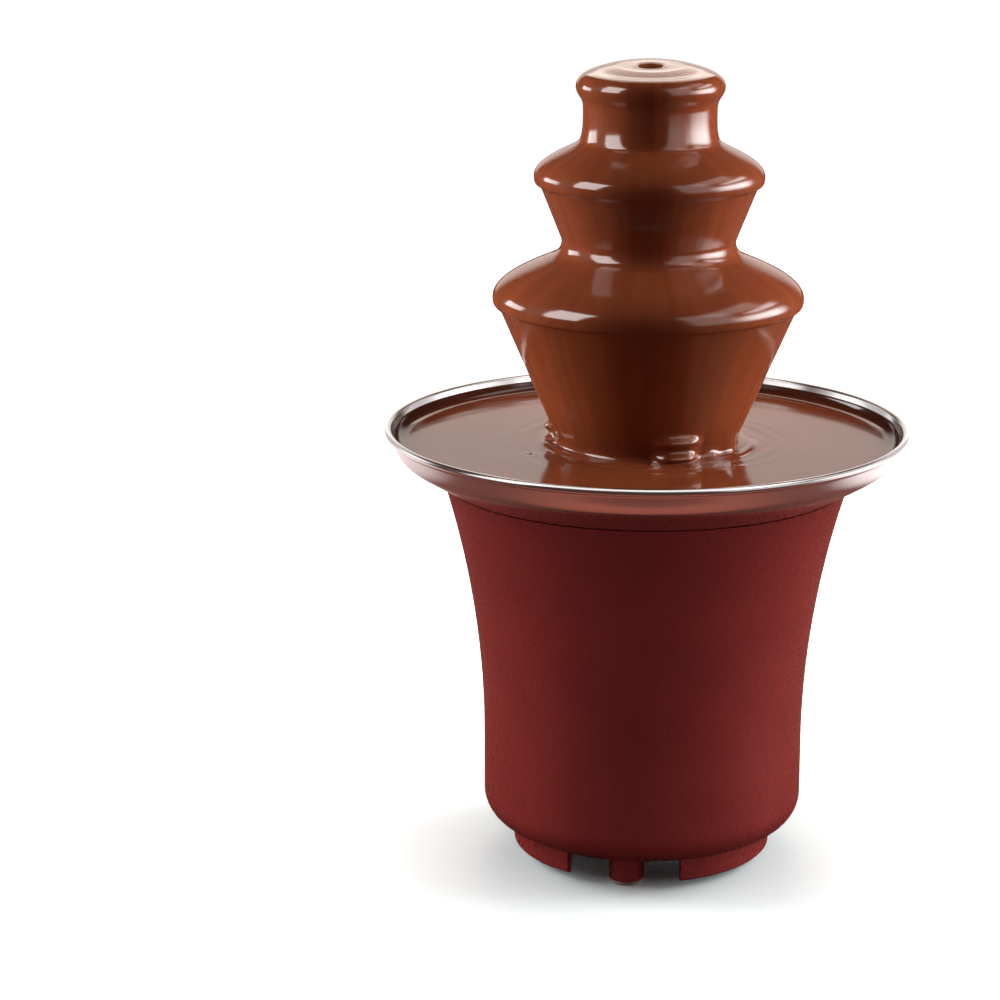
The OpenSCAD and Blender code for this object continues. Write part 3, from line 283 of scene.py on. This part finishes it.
CHOCOLATE = (0.217, 0.050, 0.0180)
SLOT_MATERIALS = {
    "burgundy_plastic": moulded("burgundy_plastic", (0.193, 0.0224, 0.0200), 0.28, 0.0015, 0.000002,
                                uneven=0.02, Specular_IOR_Level=0.25),
    "foot_rubber": moulded("foot_rubber", (0.35, 0.31, 0.29), 0.75, 0.0008, 0.00004),
    "seal_rubber": moulded("seal_rubber", (0.035, 0.032, 0.032), 0.6, 0.0008, 0.00003),
    "stainless": turned_metal("stainless", (0.80, 0.78, 0.77), 0.16, 2500.0, 0.000006),
    "zinc_steel": cast_metal("zinc_steel", (0.62, 0.62, 0.63), 0.34, 0.0005, 0.000015),
    "aluminium": cast_metal("aluminium", (0.74, 0.74, 0.75), 0.38, 0.0004, 0.00002),
    "bronze": cast_metal("bronze", (0.55, 0.36, 0.16), 0.42, 0.0003, 0.00003),
    "copper": turned_metal("copper", (0.62, 0.27, 0.13), 0.3, 3000.0, 0.0001),
    "black_plastic": moulded("black_plastic", (0.016, 0.015, 0.015), 0.45, 0.0004, 0.000025),
    "ferrite": moulded("ferrite", (0.03, 0.03, 0.032), 0.6, 0.0003, 0.00002),
    "white_nylon": moulded("white_nylon", (0.72, 0.70, 0.63), 0.4, 0.0009, 0.00002),
    "brown_plastic": moulded("brown_plastic", (0.05, 0.018, 0.010), 0.3, 0.0008, 0.00002),
    "melted_chocolate": chocolate("melted_chocolate", CHOCOLATE, 0.10),
}

for subpart in frame["record"]["subparts"]:
    node = frame["nodes"][subpart["node"]]
    node.data.materials.clear()
    node.data.materials.append(SLOT_MATERIALS[subpart["material_slot"]])


# The bowl

def bowl_side(inset):
    """The bowl's side from the hole in its floor up to its rim, set in from its outer face."""
    seat, foot, top = (np.array(v) for v in (BOWL_SEAT, WALL_FOOT, WALL_TOP))
    slope, wall = ((b - a) / np.linalg.norm(b - a) for a, b in ((seat, foot), (foot, top)))
    corner = seat - slope * (seat[1] - BOWL_FLOOR_Z) / slope[1]
    path = np.vstack([
        line((HUB_HOLE_R, BOWL_FLOOR_Z), corner - (FLOOR_BEND, 0), 8),
        bezier(corner - (FLOOR_BEND, 0), corner, corner, corner + FLOOR_BEND * slope)[1:],
        bezier(foot - WALL_BEND * slope, foot, foot, foot + WALL_BEND * wall, 24),
        [top],
    ])
    along = np.gradient(path, axis=0)
    along /= np.linalg.norm(along, axis=1)[:, None]
    return path + inset * np.stack([-along[:, 1], along[:, 0]], -1)


def make_bowl():
    """The pressed bowl with its rolled rim, finer than the frame's mesh so that its mirroring is smooth."""
    middle = np.array((RIM_R - BEAD_R, RIM_Z))
    turn = np.radians(np.linspace(-127, 172, 48))
    bead = middle + BEAD_R * np.stack([np.cos(turn), np.sin(turn)], -1)
    outer, inner = (side[:-1] for side in (bowl_side(0), bowl_side(SHEET)))
    profile = np.vstack([outer, bead, inner[::-1]])
    radius, height = (np.repeat(profile[:, k:k + 1], COLUMNS, axis=1) for k in (0, 1))
    piece = revolved("bowl_surface", radius, height)
    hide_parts("bowl")
    return piece


# The chocolate that falls over the tower

def flow_profile():
    """Radius and height of the chocolate's skin: the outside from beside the middle of the crown down to the
    bowl, then the inside back up. Also the number of points on the outside, and the two heights on the
    axis."""
    crown_edge, up_edge, low_edge = (CROWN_R, CROWN_Z), (UP_R, UP_Z), (LOW_R, LOW_Z)
    neck_top, neck_land = (NECK_R + 0.15, CROWN_Z - 6), (NECK_LAND_R, UP_Z + UP_RISE)
    curtain_land = (LAND_R, LOW_Z + LOW_RISE)
    foot = np.array((FOOT_R, POOL_Z + 0.1))
    lip_end = np.array((LOW_R - LIP_IN, LOW_Z - LIP_DROP))
    fall = (foot - lip_end) / np.linalg.norm(foot - lip_end)
    up_lip_end = np.array((UP_R - LIP_IN, UP_Z - LIP_DROP))
    fillet_top = up_lip_end + (np.array(curtain_land) - up_lip_end) * FILLET_START
    low_dome = dome(curtain_land, low_edge, 36)
    fillet_end, fillet_in = ((r, np.interp(r, *low_dome.T) + 0.15) for r in (FILLET_R, FILLET_IN_R))
    dimple_z, round_r = TOP_Z - DIMPLE_D, FLAT_R + 0.14 * (CROWN_R - FLAT_R)
    outside = np.vstack([
        bezier((0, dimple_z), (DIMPLE_R / 2, dimple_z), (DIMPLE_R / 2, TOP_Z), (DIMPLE_R, TOP_Z))[1:],
        bezier((FLAT_R, TOP_Z), (round_r, TOP_Z), (CROWN_R, CROWN_Z + 5.0), crown_edge, 28),
        bezier(crown_edge, (CROWN_R, CROWN_Z - 2.6), (NECK_R + 0.3, CROWN_Z - 3.4), neck_top)[1:],
        bezier(neck_top, (NECK_R, CROWN_Z - 10), (NECK_R, neck_land[1] + 2), neck_land, 24)[1:],
        dome(neck_land, up_edge)[1:],
        lip(up_edge)[1:],
        line(up_lip_end, fillet_top, 20)[1:],
        bezier(fillet_top, fillet_top + (-0.6, -1.6), np.add(fillet_in, (0.0, 0.3)), fillet_end, 18)[1:],
        low_dome[low_dome[:, 0] > FILLET_R + 0.4],
        lip(low_edge)[1:],
        line(lip_end, foot - 2 * FOOT_SWELL * fall, 80)[1:],
        bezier(foot - 2 * FOOT_SWELL * fall, foot - FOOT_SWELL * fall, foot, foot + (FOOT_SWELL, 0), 30)[1:],
    ])
    gap = np.array((SKIN_GAP, SKIN_GAP))
    low_top, low_rim = np.array(curtain_land) - COAT_T, np.array(low_edge) - (COAT_T, 0)
    up_top, up_rim = np.array(neck_land) - COAT_T, np.array(up_edge) - (COAT_T, 0)
    crown_top, crown_rim = np.array((TUBE_END_R, CROWN_Z + CROWN_RISE)), np.array(crown_edge) - (COAT_T, 0)
    under = np.array((SKIN_GAP, -RIM_DROP - SKIN_GAP))
    side = np.array((SKIN_GAP, 0))
    inside = np.vstack([
        [(FOOT_R - CURTAIN_T, POOL_Z + FREE_GAP)],
        [lip_end + (-CURTAIN_T, CURTAIN_T / 2), low_rim + under],
        dome(low_top + gap, low_rim + side, 10)[::-1],
        [(LAND_R - CURTAIN_T, curtain_land[1] + CURTAIN_T / 2)],
        [up_lip_end + (-CURTAIN_T, CURTAIN_T / 2), up_rim + under],
        dome(up_top + gap, up_rim + side, 10)[::-1],
        [(NECK_R - CURTAIN_T, neck_land[1] + CURTAIN_T / 2), (NECK_R - CURTAIN_T, CROWN_Z - LIP_DROP)],
        [crown_rim + under],
        dome(crown_top + gap, crown_rim + side, 10)[::-1],
    ])
    return np.vstack([outside, inside]), len(outside), (dimple_z, crown_top[1] + SKIN_GAP)


def flow_swell(height, turn):
    """How far the lower curtain's foot stands out, by height and turn: a folded drip right of the front,
    two stacked beads on the left and a soft fold on the right."""
    up = height - POOL_Z
    drip = ramp(turn, 1, 14) * (1 - ramp(turn, 23, 36))
    folds = 3.6 * bell(up, 1.4, 1.8) + 2.7 * bell(up, 6.6, 1.6) + 1.0 * bell(up, 4.2, 2.4)
    bead = 3.4 * bell(turn, -85, 6) * bell(up, 1.2, 1.5) + 2.4 * bell(turn, -87, 4.5) * bell(up, 4.6, 1.5)
    fold = bell(turn, 60, 9) * 2.2 * bell(up, 0, 5) + bell(turn, 44, 5) * 1.4 * bell(up, 0, 2.2)
    return drip * folds + bead + fold


def make_flow():
    """The chocolate on the tower as one skin, slightly uneven all round, with fine rills down the falls. Its
    top leans to the front a little."""
    profile, outside, ends = flow_profile()
    turn = turns(COLUMNS)[None]
    radius, height = (np.repeat(profile[:, k:k + 1], COLUMNS, axis=1) for k in (0, 1))
    wave = np.radians(turn)
    uneven = (0.10 * np.sin(2 * wave + 0.6) + 0.07 * np.sin(3 * wave + 2.1)
              + 0.04 * np.sin(7 * wave + height / 9))
    rill = 0.012 * np.sin(23 * wave + 0.4) + 0.010 * np.sin(37 * wave + 1.7) + 0.006 * np.sin(61 * wave + 0.9)
    falling = ramp(LOW_Z - LIP_DROP - height, 0, 6) + bell(height, 207, 7)
    mask = np.zeros_like(radius)
    mask[:outside] = ramp(profile[:outside, 0:1], 12, 20)
    low = ramp(LOW_Z - LIP_DROP - height, 20, 26)
    crown = (height > CROWN_Z) * (1 - ramp(radius, 14, 22))
    crown[outside:] = 0
    height = height - CROWN_TILT * crown * (radius * np.cos(wave) + CROWN_BACK_R)
    radius = radius + mask * (uneven + rill * falling + low * flow_swell(height, turn))
    ends = (ends[0] - CROWN_TILT * CROWN_BACK_R, ends[1])
    piece = revolved("chocolate_flow", radius, height, ends)
    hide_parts("crown_flow", "upper_flow", "lower_flow")
    return piece


# The chocolate that stands in the bowl

def pool_height(radius, turn):
    """Height of the pool's ripples over its level, by radius and turn: a heap round the tower's foot, ridges
    where the fall pushes the pool aside, one small spot and fine waves."""
    wave = np.radians(turn)
    near_tower = 1 - ramp(radius, 30, 52)
    heap = 0.7 * (1 - ramp(radius, 28, 35))
    ridge_r = 32.4 + 0.8 * np.sin(2 * wave + 1.0)
    ridge = 0.9 * bell(radius, ridge_r, 0.9) * ramp(turn, -95, -70) * (1 - ramp(turn, -6, 6))
    second = 0.35 * bell(radius, 37.5 + turn / 9, 1.6) * ramp(turn, -45, -20) * (1 - ramp(turn, 30, 50))
    right = 0.6 * bell(radius, 33.5, 1.3) * ramp(turn, 34, 48) * (1 - ramp(turn, 80, 100))
    spot = 0.5 * bell(radius, 41, 1.2) * bell(turn, -62, 2.2)
    ripple = 0.05 * np.sin(radius * 1.15 + 2.0 * np.sin(3 * wave) + 0.6 * np.sin(11 * wave)) * near_tower
    calm = 0.012 * np.sin(radius / 3.1 + 3 * wave) + 0.012 * np.sin(radius / 4.3 - 2 * wave + 1.3)
    return heap + ridge + second + right + spot + ripple + calm


def make_pool():
    """The chocolate in the bowl: a rippled top, a film up the wall and the bowl's own shape below."""
    film = bezier((FILM_START_R, POOL_Z), *FILM_BEND, FILM_TOP, 14)
    top_r = np.concatenate([np.arange(POOL_IN_R, RIPPLED_R, 0.5), np.arange(RIPPLED_R, FILM_START_R, 1.0)])
    wall = bowl_side(SHEET + SKIN_GAP)
    wall = wall[(wall[:, 1] < FILM_TOP[1] - 0.3) & (wall[:, 0] > POOL_IN_R)]
    floor = (POOL_IN_R, BOWL_FLOOR_Z + SHEET + SKIN_GAP)
    below = np.vstack([film, [FILM_EDGE], wall[::-1], [floor]])
    turn = turns(COLUMNS)[None]
    radius, height = (np.repeat(v[:, None], COLUMNS, axis=1)
                      for v in (np.concatenate([top_r, below[:, 0]]),
                                np.concatenate([np.full(len(top_r), POOL_Z), below[:, 1]])))
    top = len(top_r)
    height[:top] += pool_height(radius[:top], turn)
    piece = revolved("chocolate_pool_surface", radius, height)
    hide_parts("chocolate_pool")
    return piece


bowl, flow, pool = make_bowl(), make_flow(), make_pool()
for piece, body, slot in ((bowl, "base", "stainless"), (flow, "tower", "melted_chocolate"),
                          (pool, "base", "melted_chocolate")):
    piece.data.materials.append(SLOT_MATERIALS[slot])
    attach(piece, body)


# Floor, light and camera

# Metres: the floor's half width, its front edge, and where its own light starts and is white, from the axis
FLOOR_REACH, FLOOR_FRONT, FLOOR_NEAR, FLOOR_FAR = 14.0, -0.16, 0.03, 0.17
FLOOR_COLOUR, FLOOR_BOUNCE, FLOOR_MIRRORED = (0.865, 0.95, 0.955), (0.07, 0.03, 0.024), (0.13, 0.045, 0.036)
# How far a direction points to +Y where the mirrored backdrop starts and where it is full
BACKDROP_START, BACKDROP_FULL = 0.90, 0.95
BACKDROP_MIRRORED, STUDIO_TONE = (0.935, 0.877, 0.802), (0.07, 0.036, 0.032)
WHITE, WARM_TONE, PALE_TONE, RED_TONE = (1, 1, 1), (1.0, 0.90, 0.79), (1.0, 0.96, 0.98), (1.0, 0.20, 0.12)
TOWER_MIDDLE = Vector((0, 0, 0.2))
# The photo's camera, from a fit to the outlines: metres, then radians, then millimetres
CAMERA_PLACE = (0, -0.919947, 0.359499)
CAMERA_YAW, CAMERA_PITCH = 0.050, 0.259
SENSOR, LENS = 36.0, 108.0


def background_rays(tree):
    """1 for rays from the camera, and for rays in a mirror or through glass, which show the background
    too."""
    rays = add(tree, "ShaderNodeLightPath").outputs
    mirrored = add(tree, "ShaderNodeMath", {0: rays["Is Glossy Ray"], 1: rays["Is Transmission Ray"]},
                   operation="MAXIMUM").outputs[0]
    return add(tree, "ShaderNodeMath", {0: camera_rays(tree), 1: mirrored}, operation="MAXIMUM").outputs[0]


def camera_rays(tree):
    """1 for rays from the camera."""
    return add(tree, "ShaderNodeLightPath").outputs["Is Camera Ray"]


def make_floor():
    """A pale tabletop that shows white, with the object's shadow on it. Its front edge is near the object, so
    the chocolate's front mirrors the dark studio beyond it."""
    corners = [(x, y, 0) for x, y in ((-FLOOR_REACH, FLOOR_FRONT), (FLOOR_REACH, FLOOR_FRONT),
                                      (FLOOR_REACH, FLOOR_REACH), (-FLOOR_REACH, FLOOR_REACH))]
    floor = new_piece("floor", corners, [(0, 1, 2, 3)])
    material = bpy.data.materials.new("floor")
    material.use_nodes = True
    tree = material.node_tree
    tree.nodes.clear()
    away = add(tree, "ShaderNodeVectorMath", {0: place(tree)}, operation="LENGTH").outputs["Value"]
    far = {"Value": away, "From Min": FLOOR_NEAR, "From Max": FLOOR_FAR}
    level = add(tree, "ShaderNodeMapRange", far).outputs["Result"]
    glow = add(tree, "ShaderNodeMath", {0: background_rays(tree), 1: level}, operation="MULTIPLY").outputs[0]
    shine = mixed(tree, camera_rays(tree), FLOOR_MIRRORED, WHITE)
    colour = mixed(tree, camera_rays(tree), FLOOR_BOUNCE, FLOOR_COLOUR)
    matt = add(tree, "ShaderNodeBsdfDiffuse", {"Color": colour}).outputs[0]
    light = add(tree, "ShaderNodeEmission", {"Color": shine, "Strength": glow}).outputs[0]
    both = add(tree, "ShaderNodeAddShader", {0: matt, 1: light}).outputs[0]
    add(tree, "ShaderNodeOutputMaterial", {"Surface": both})
    floor.data.materials.append(material)


def make_world():
    """A white backdrop, which metal and chocolate show where it stands behind the part. The rest of the
    studio is dark."""
    world = bpy.data.worlds.new("studio")
    bpy.context.scene.world = world
    world.use_nodes = True
    tree = world.node_tree
    tree.nodes.clear()
    ahead = add(tree, "ShaderNodeSeparateXYZ", {0: place(tree)}).outputs["Y"]
    back = {"Value": ahead, "From Min": BACKDROP_START, "From Max": BACKDROP_FULL}
    behind = add(tree, "ShaderNodeMapRange", back).outputs["Result"]
    shown = add(tree, "ShaderNodeMath", {0: camera_rays(tree), 1: behind}, operation="MAXIMUM").outputs[0]
    shown = add(tree, "ShaderNodeMath", {0: shown, 1: background_rays(tree)}, operation="MULTIPLY").outputs[0]
    backdrop = mixed(tree, camera_rays(tree), BACKDROP_MIRRORED, WHITE)
    tone = mixed(tree, shown, STUDIO_TONE, backdrop)
    light = add(tree, "ShaderNodeBackground", {"Color": tone, "Strength": 1.0}).outputs[0]
    add(tree, "ShaderNodeOutputWorld", {"Surface": light})


def light_only(light, objects, state="INCLUDE"):
    """Lets a lamp light only these objects, or all but them with EXCLUDE."""
    group = bpy.data.collections.new(f"{light.name}_objects")
    for thing in objects:
        group.objects.link(thing)
    for member in group.collection_objects:
        member.light_linking.link_state = state
    light.light_linking.receiver_collection = group


def soften(lamp, soft):
    """Fades a lamp towards its edges over the given share of its width and height."""
    lamp.use_nodes = True
    tree = lamp.node_tree
    across = add(tree, "ShaderNodeNewGeometry").outputs["Parametric"]
    sides = add(tree, "ShaderNodeSeparateXYZ", {0: across}).outputs
    levels = []
    for side in ("X", "Y"):
        off = add(tree, "ShaderNodeMath", {0: sides[side], 1: 0.5}, operation="SUBTRACT").outputs[0]
        off = add(tree, "ShaderNodeMath", {0: off}, operation="ABSOLUTE").outputs[0]
        fade = {"Value": off, "From Min": 0.5, "From Max": 0.5 - soft}
        faded = add(tree, "ShaderNodeMapRange", fade, interpolation_type="SMOOTHSTEP")
        levels.append(faded.outputs["Result"])
    level = add(tree, "ShaderNodeMath", {0: levels[0], 1: levels[1]}, operation="MULTIPLY").outputs[0]
    tree.links.new(level, tree.nodes["Emission"].inputs["Strength"])


def softbox(name, azimuth, elevation, width, height, matt=0.0, mirror=0.0, steel=0.0, distance=1.0, soft=0.08,
            tone=WHITE, in_pool=True, only=None):
    """A rectangular lamp that faces the tower's middle. Angles are in degrees as seen from there, the azimuth
    from the front towards +X. matt is the radiance that lights colours, mirror the one that reflections show
    and steel the one that the bowl shows instead, each a lamp of its own. soft is the share of the width that
    fades at each edge, and tone the colour. Where in_pool is False, the pool doesn't mirror the lamp. only
    lists the objects that it lights, if not all."""
    turn, rise = math.radians(azimuth), math.radians(elevation)
    away = Vector((math.sin(turn) * math.cos(rise), -math.cos(turn) * math.cos(rise), math.sin(rise)))
    for use, radiance, reach in (("matt", matt, 1.0), ("mirror", mirror, 1.01), ("steel", steel, 1.02)):
        if radiance == 0:
            continue
        lamp = bpy.data.lights.new(f"{name}_{use}", "AREA")
        lamp.shape = "RECTANGLE"
        lamp.size, lamp.size_y = (2 * reach * distance * math.tan(math.radians(angle) / 2)
                                  for angle in (width, height))
        lamp.energy = radiance * lamp.size * lamp.size_y * math.pi
        lamp.color = tone
        light = bpy.data.objects.new(f"{name}_{use}", lamp)
        light.location = TOWER_MIDDLE + reach * distance * away
        light.rotation_euler = (-away).to_track_quat("-Z", "Y").to_euler()
        light.visible_camera = False
        light.visible_diffuse = use == "matt"
        light.visible_glossy = use != "matt"
        bpy.context.scene.collection.objects.link(light)
        if only:
            light_only(light, only)
        elif use == "mirror":
            light_only(light, [bowl] if in_pool else [bowl, pool], "EXCLUDE")
        elif use == "steel":
            light_only(light, [bowl])
        if use != "matt":
            soften(lamp, soft)


def make_lamps():
    """The photo's lamps, placed by the reflections in it: first those that light everything, then those for
    the bowl's steel, and last the ones that lift the falling chocolate's sides and the housing's front."""
    softbox("left_window", -66, 25, 32, 47, matt=0.57, mirror=11.0, steel=1.3, in_pool=False)
    softbox("left_strip", -114, 8, 26, 18, mirror=8.0, steel=1.0, distance=0.6)
    softbox("left_side", -101, 12, 36, 50, matt=7.4)
    softbox("right_box", 93, 6, 66, 42, mirror=15.5, steel=1.4, soft=0.4, in_pool=False)
    softbox("right_side", 101, 8, 44, 44, matt=7.8)
    softbox("right_box_top", 104, 32, 46, 13, matt=3.6, mirror=7.0, steel=0.8, soft=0.3, in_pool=False)
    softbox("right_wall", 50, 22, 44, 70, matt=0.21, mirror=1.9, steel=0.6, soft=0.2, in_pool=False)
    softbox("right_high", 86, 48, 56, 20, matt=0.71, mirror=2.0, steel=0.8, soft=0.2)
    softbox("back_top", 180, 40, 30, 46, matt=2.5, mirror=2.2, steel=1.2, tone=WARM_TONE)
    softbox("steel_left", -128, -6, 80, 66, steel=0.6, distance=0.25, soft=0.3, tone=PALE_TONE)
    softbox("steel_right", 128, -6, 80, 66, steel=0.65, distance=0.25, soft=0.3, tone=PALE_TONE)
    softbox("steel_low_left", -122, -30, 80, 34, steel=0.6, distance=0.24, soft=0.3, tone=PALE_TONE)
    softbox("steel_low_right", 112, -30, 90, 34, steel=1.1, distance=0.24, soft=0.3, tone=PALE_TONE)
    softbox("steel_front", 0, -60, 84, 44, steel=0.19, distance=0.2, soft=0.4, tone=RED_TONE)
    softbox("steel_ceiling", 0, 72, 100, 70, steel=1.1, soft=0.2)
    for side, azimuth in (("left", -101), ("right", 101)):
        softbox(f"{side}_low", azimuth, 0, 30, 30, matt=6.8, only=[flow])
    softbox("front_fill", 0, 4, 40, 22, matt=2.4, only=[frame["nodes"][n] for n in ("housing", "base_plate")])


def make_camera():
    """The photo's camera."""
    ahead = Vector((-math.sin(CAMERA_YAW), math.cos(CAMERA_YAW), 0))
    right = Vector((math.cos(CAMERA_YAW), math.sin(CAMERA_YAW), 0))
    forward = ahead * math.cos(CAMERA_PITCH) - Vector((0, 0, math.sin(CAMERA_PITCH)))
    up = right.cross(forward)
    camera = bpy.data.objects.new("camera", bpy.data.cameras.new("camera"))
    camera.data.sensor_width, camera.data.lens = SENSOR, LENS
    camera.data.clip_end = 100.0
    turn = Matrix((right, up, -forward)).transposed()
    camera.matrix_world = Matrix.Translation(CAMERA_PLACE) @ turn.to_4x4()
    bpy.context.scene.collection.objects.link(camera)
    bpy.context.scene.camera = camera


make_floor()
make_world()
make_lamps()
make_camera()
bpy.context.scene.view_settings.view_transform = "Standard"
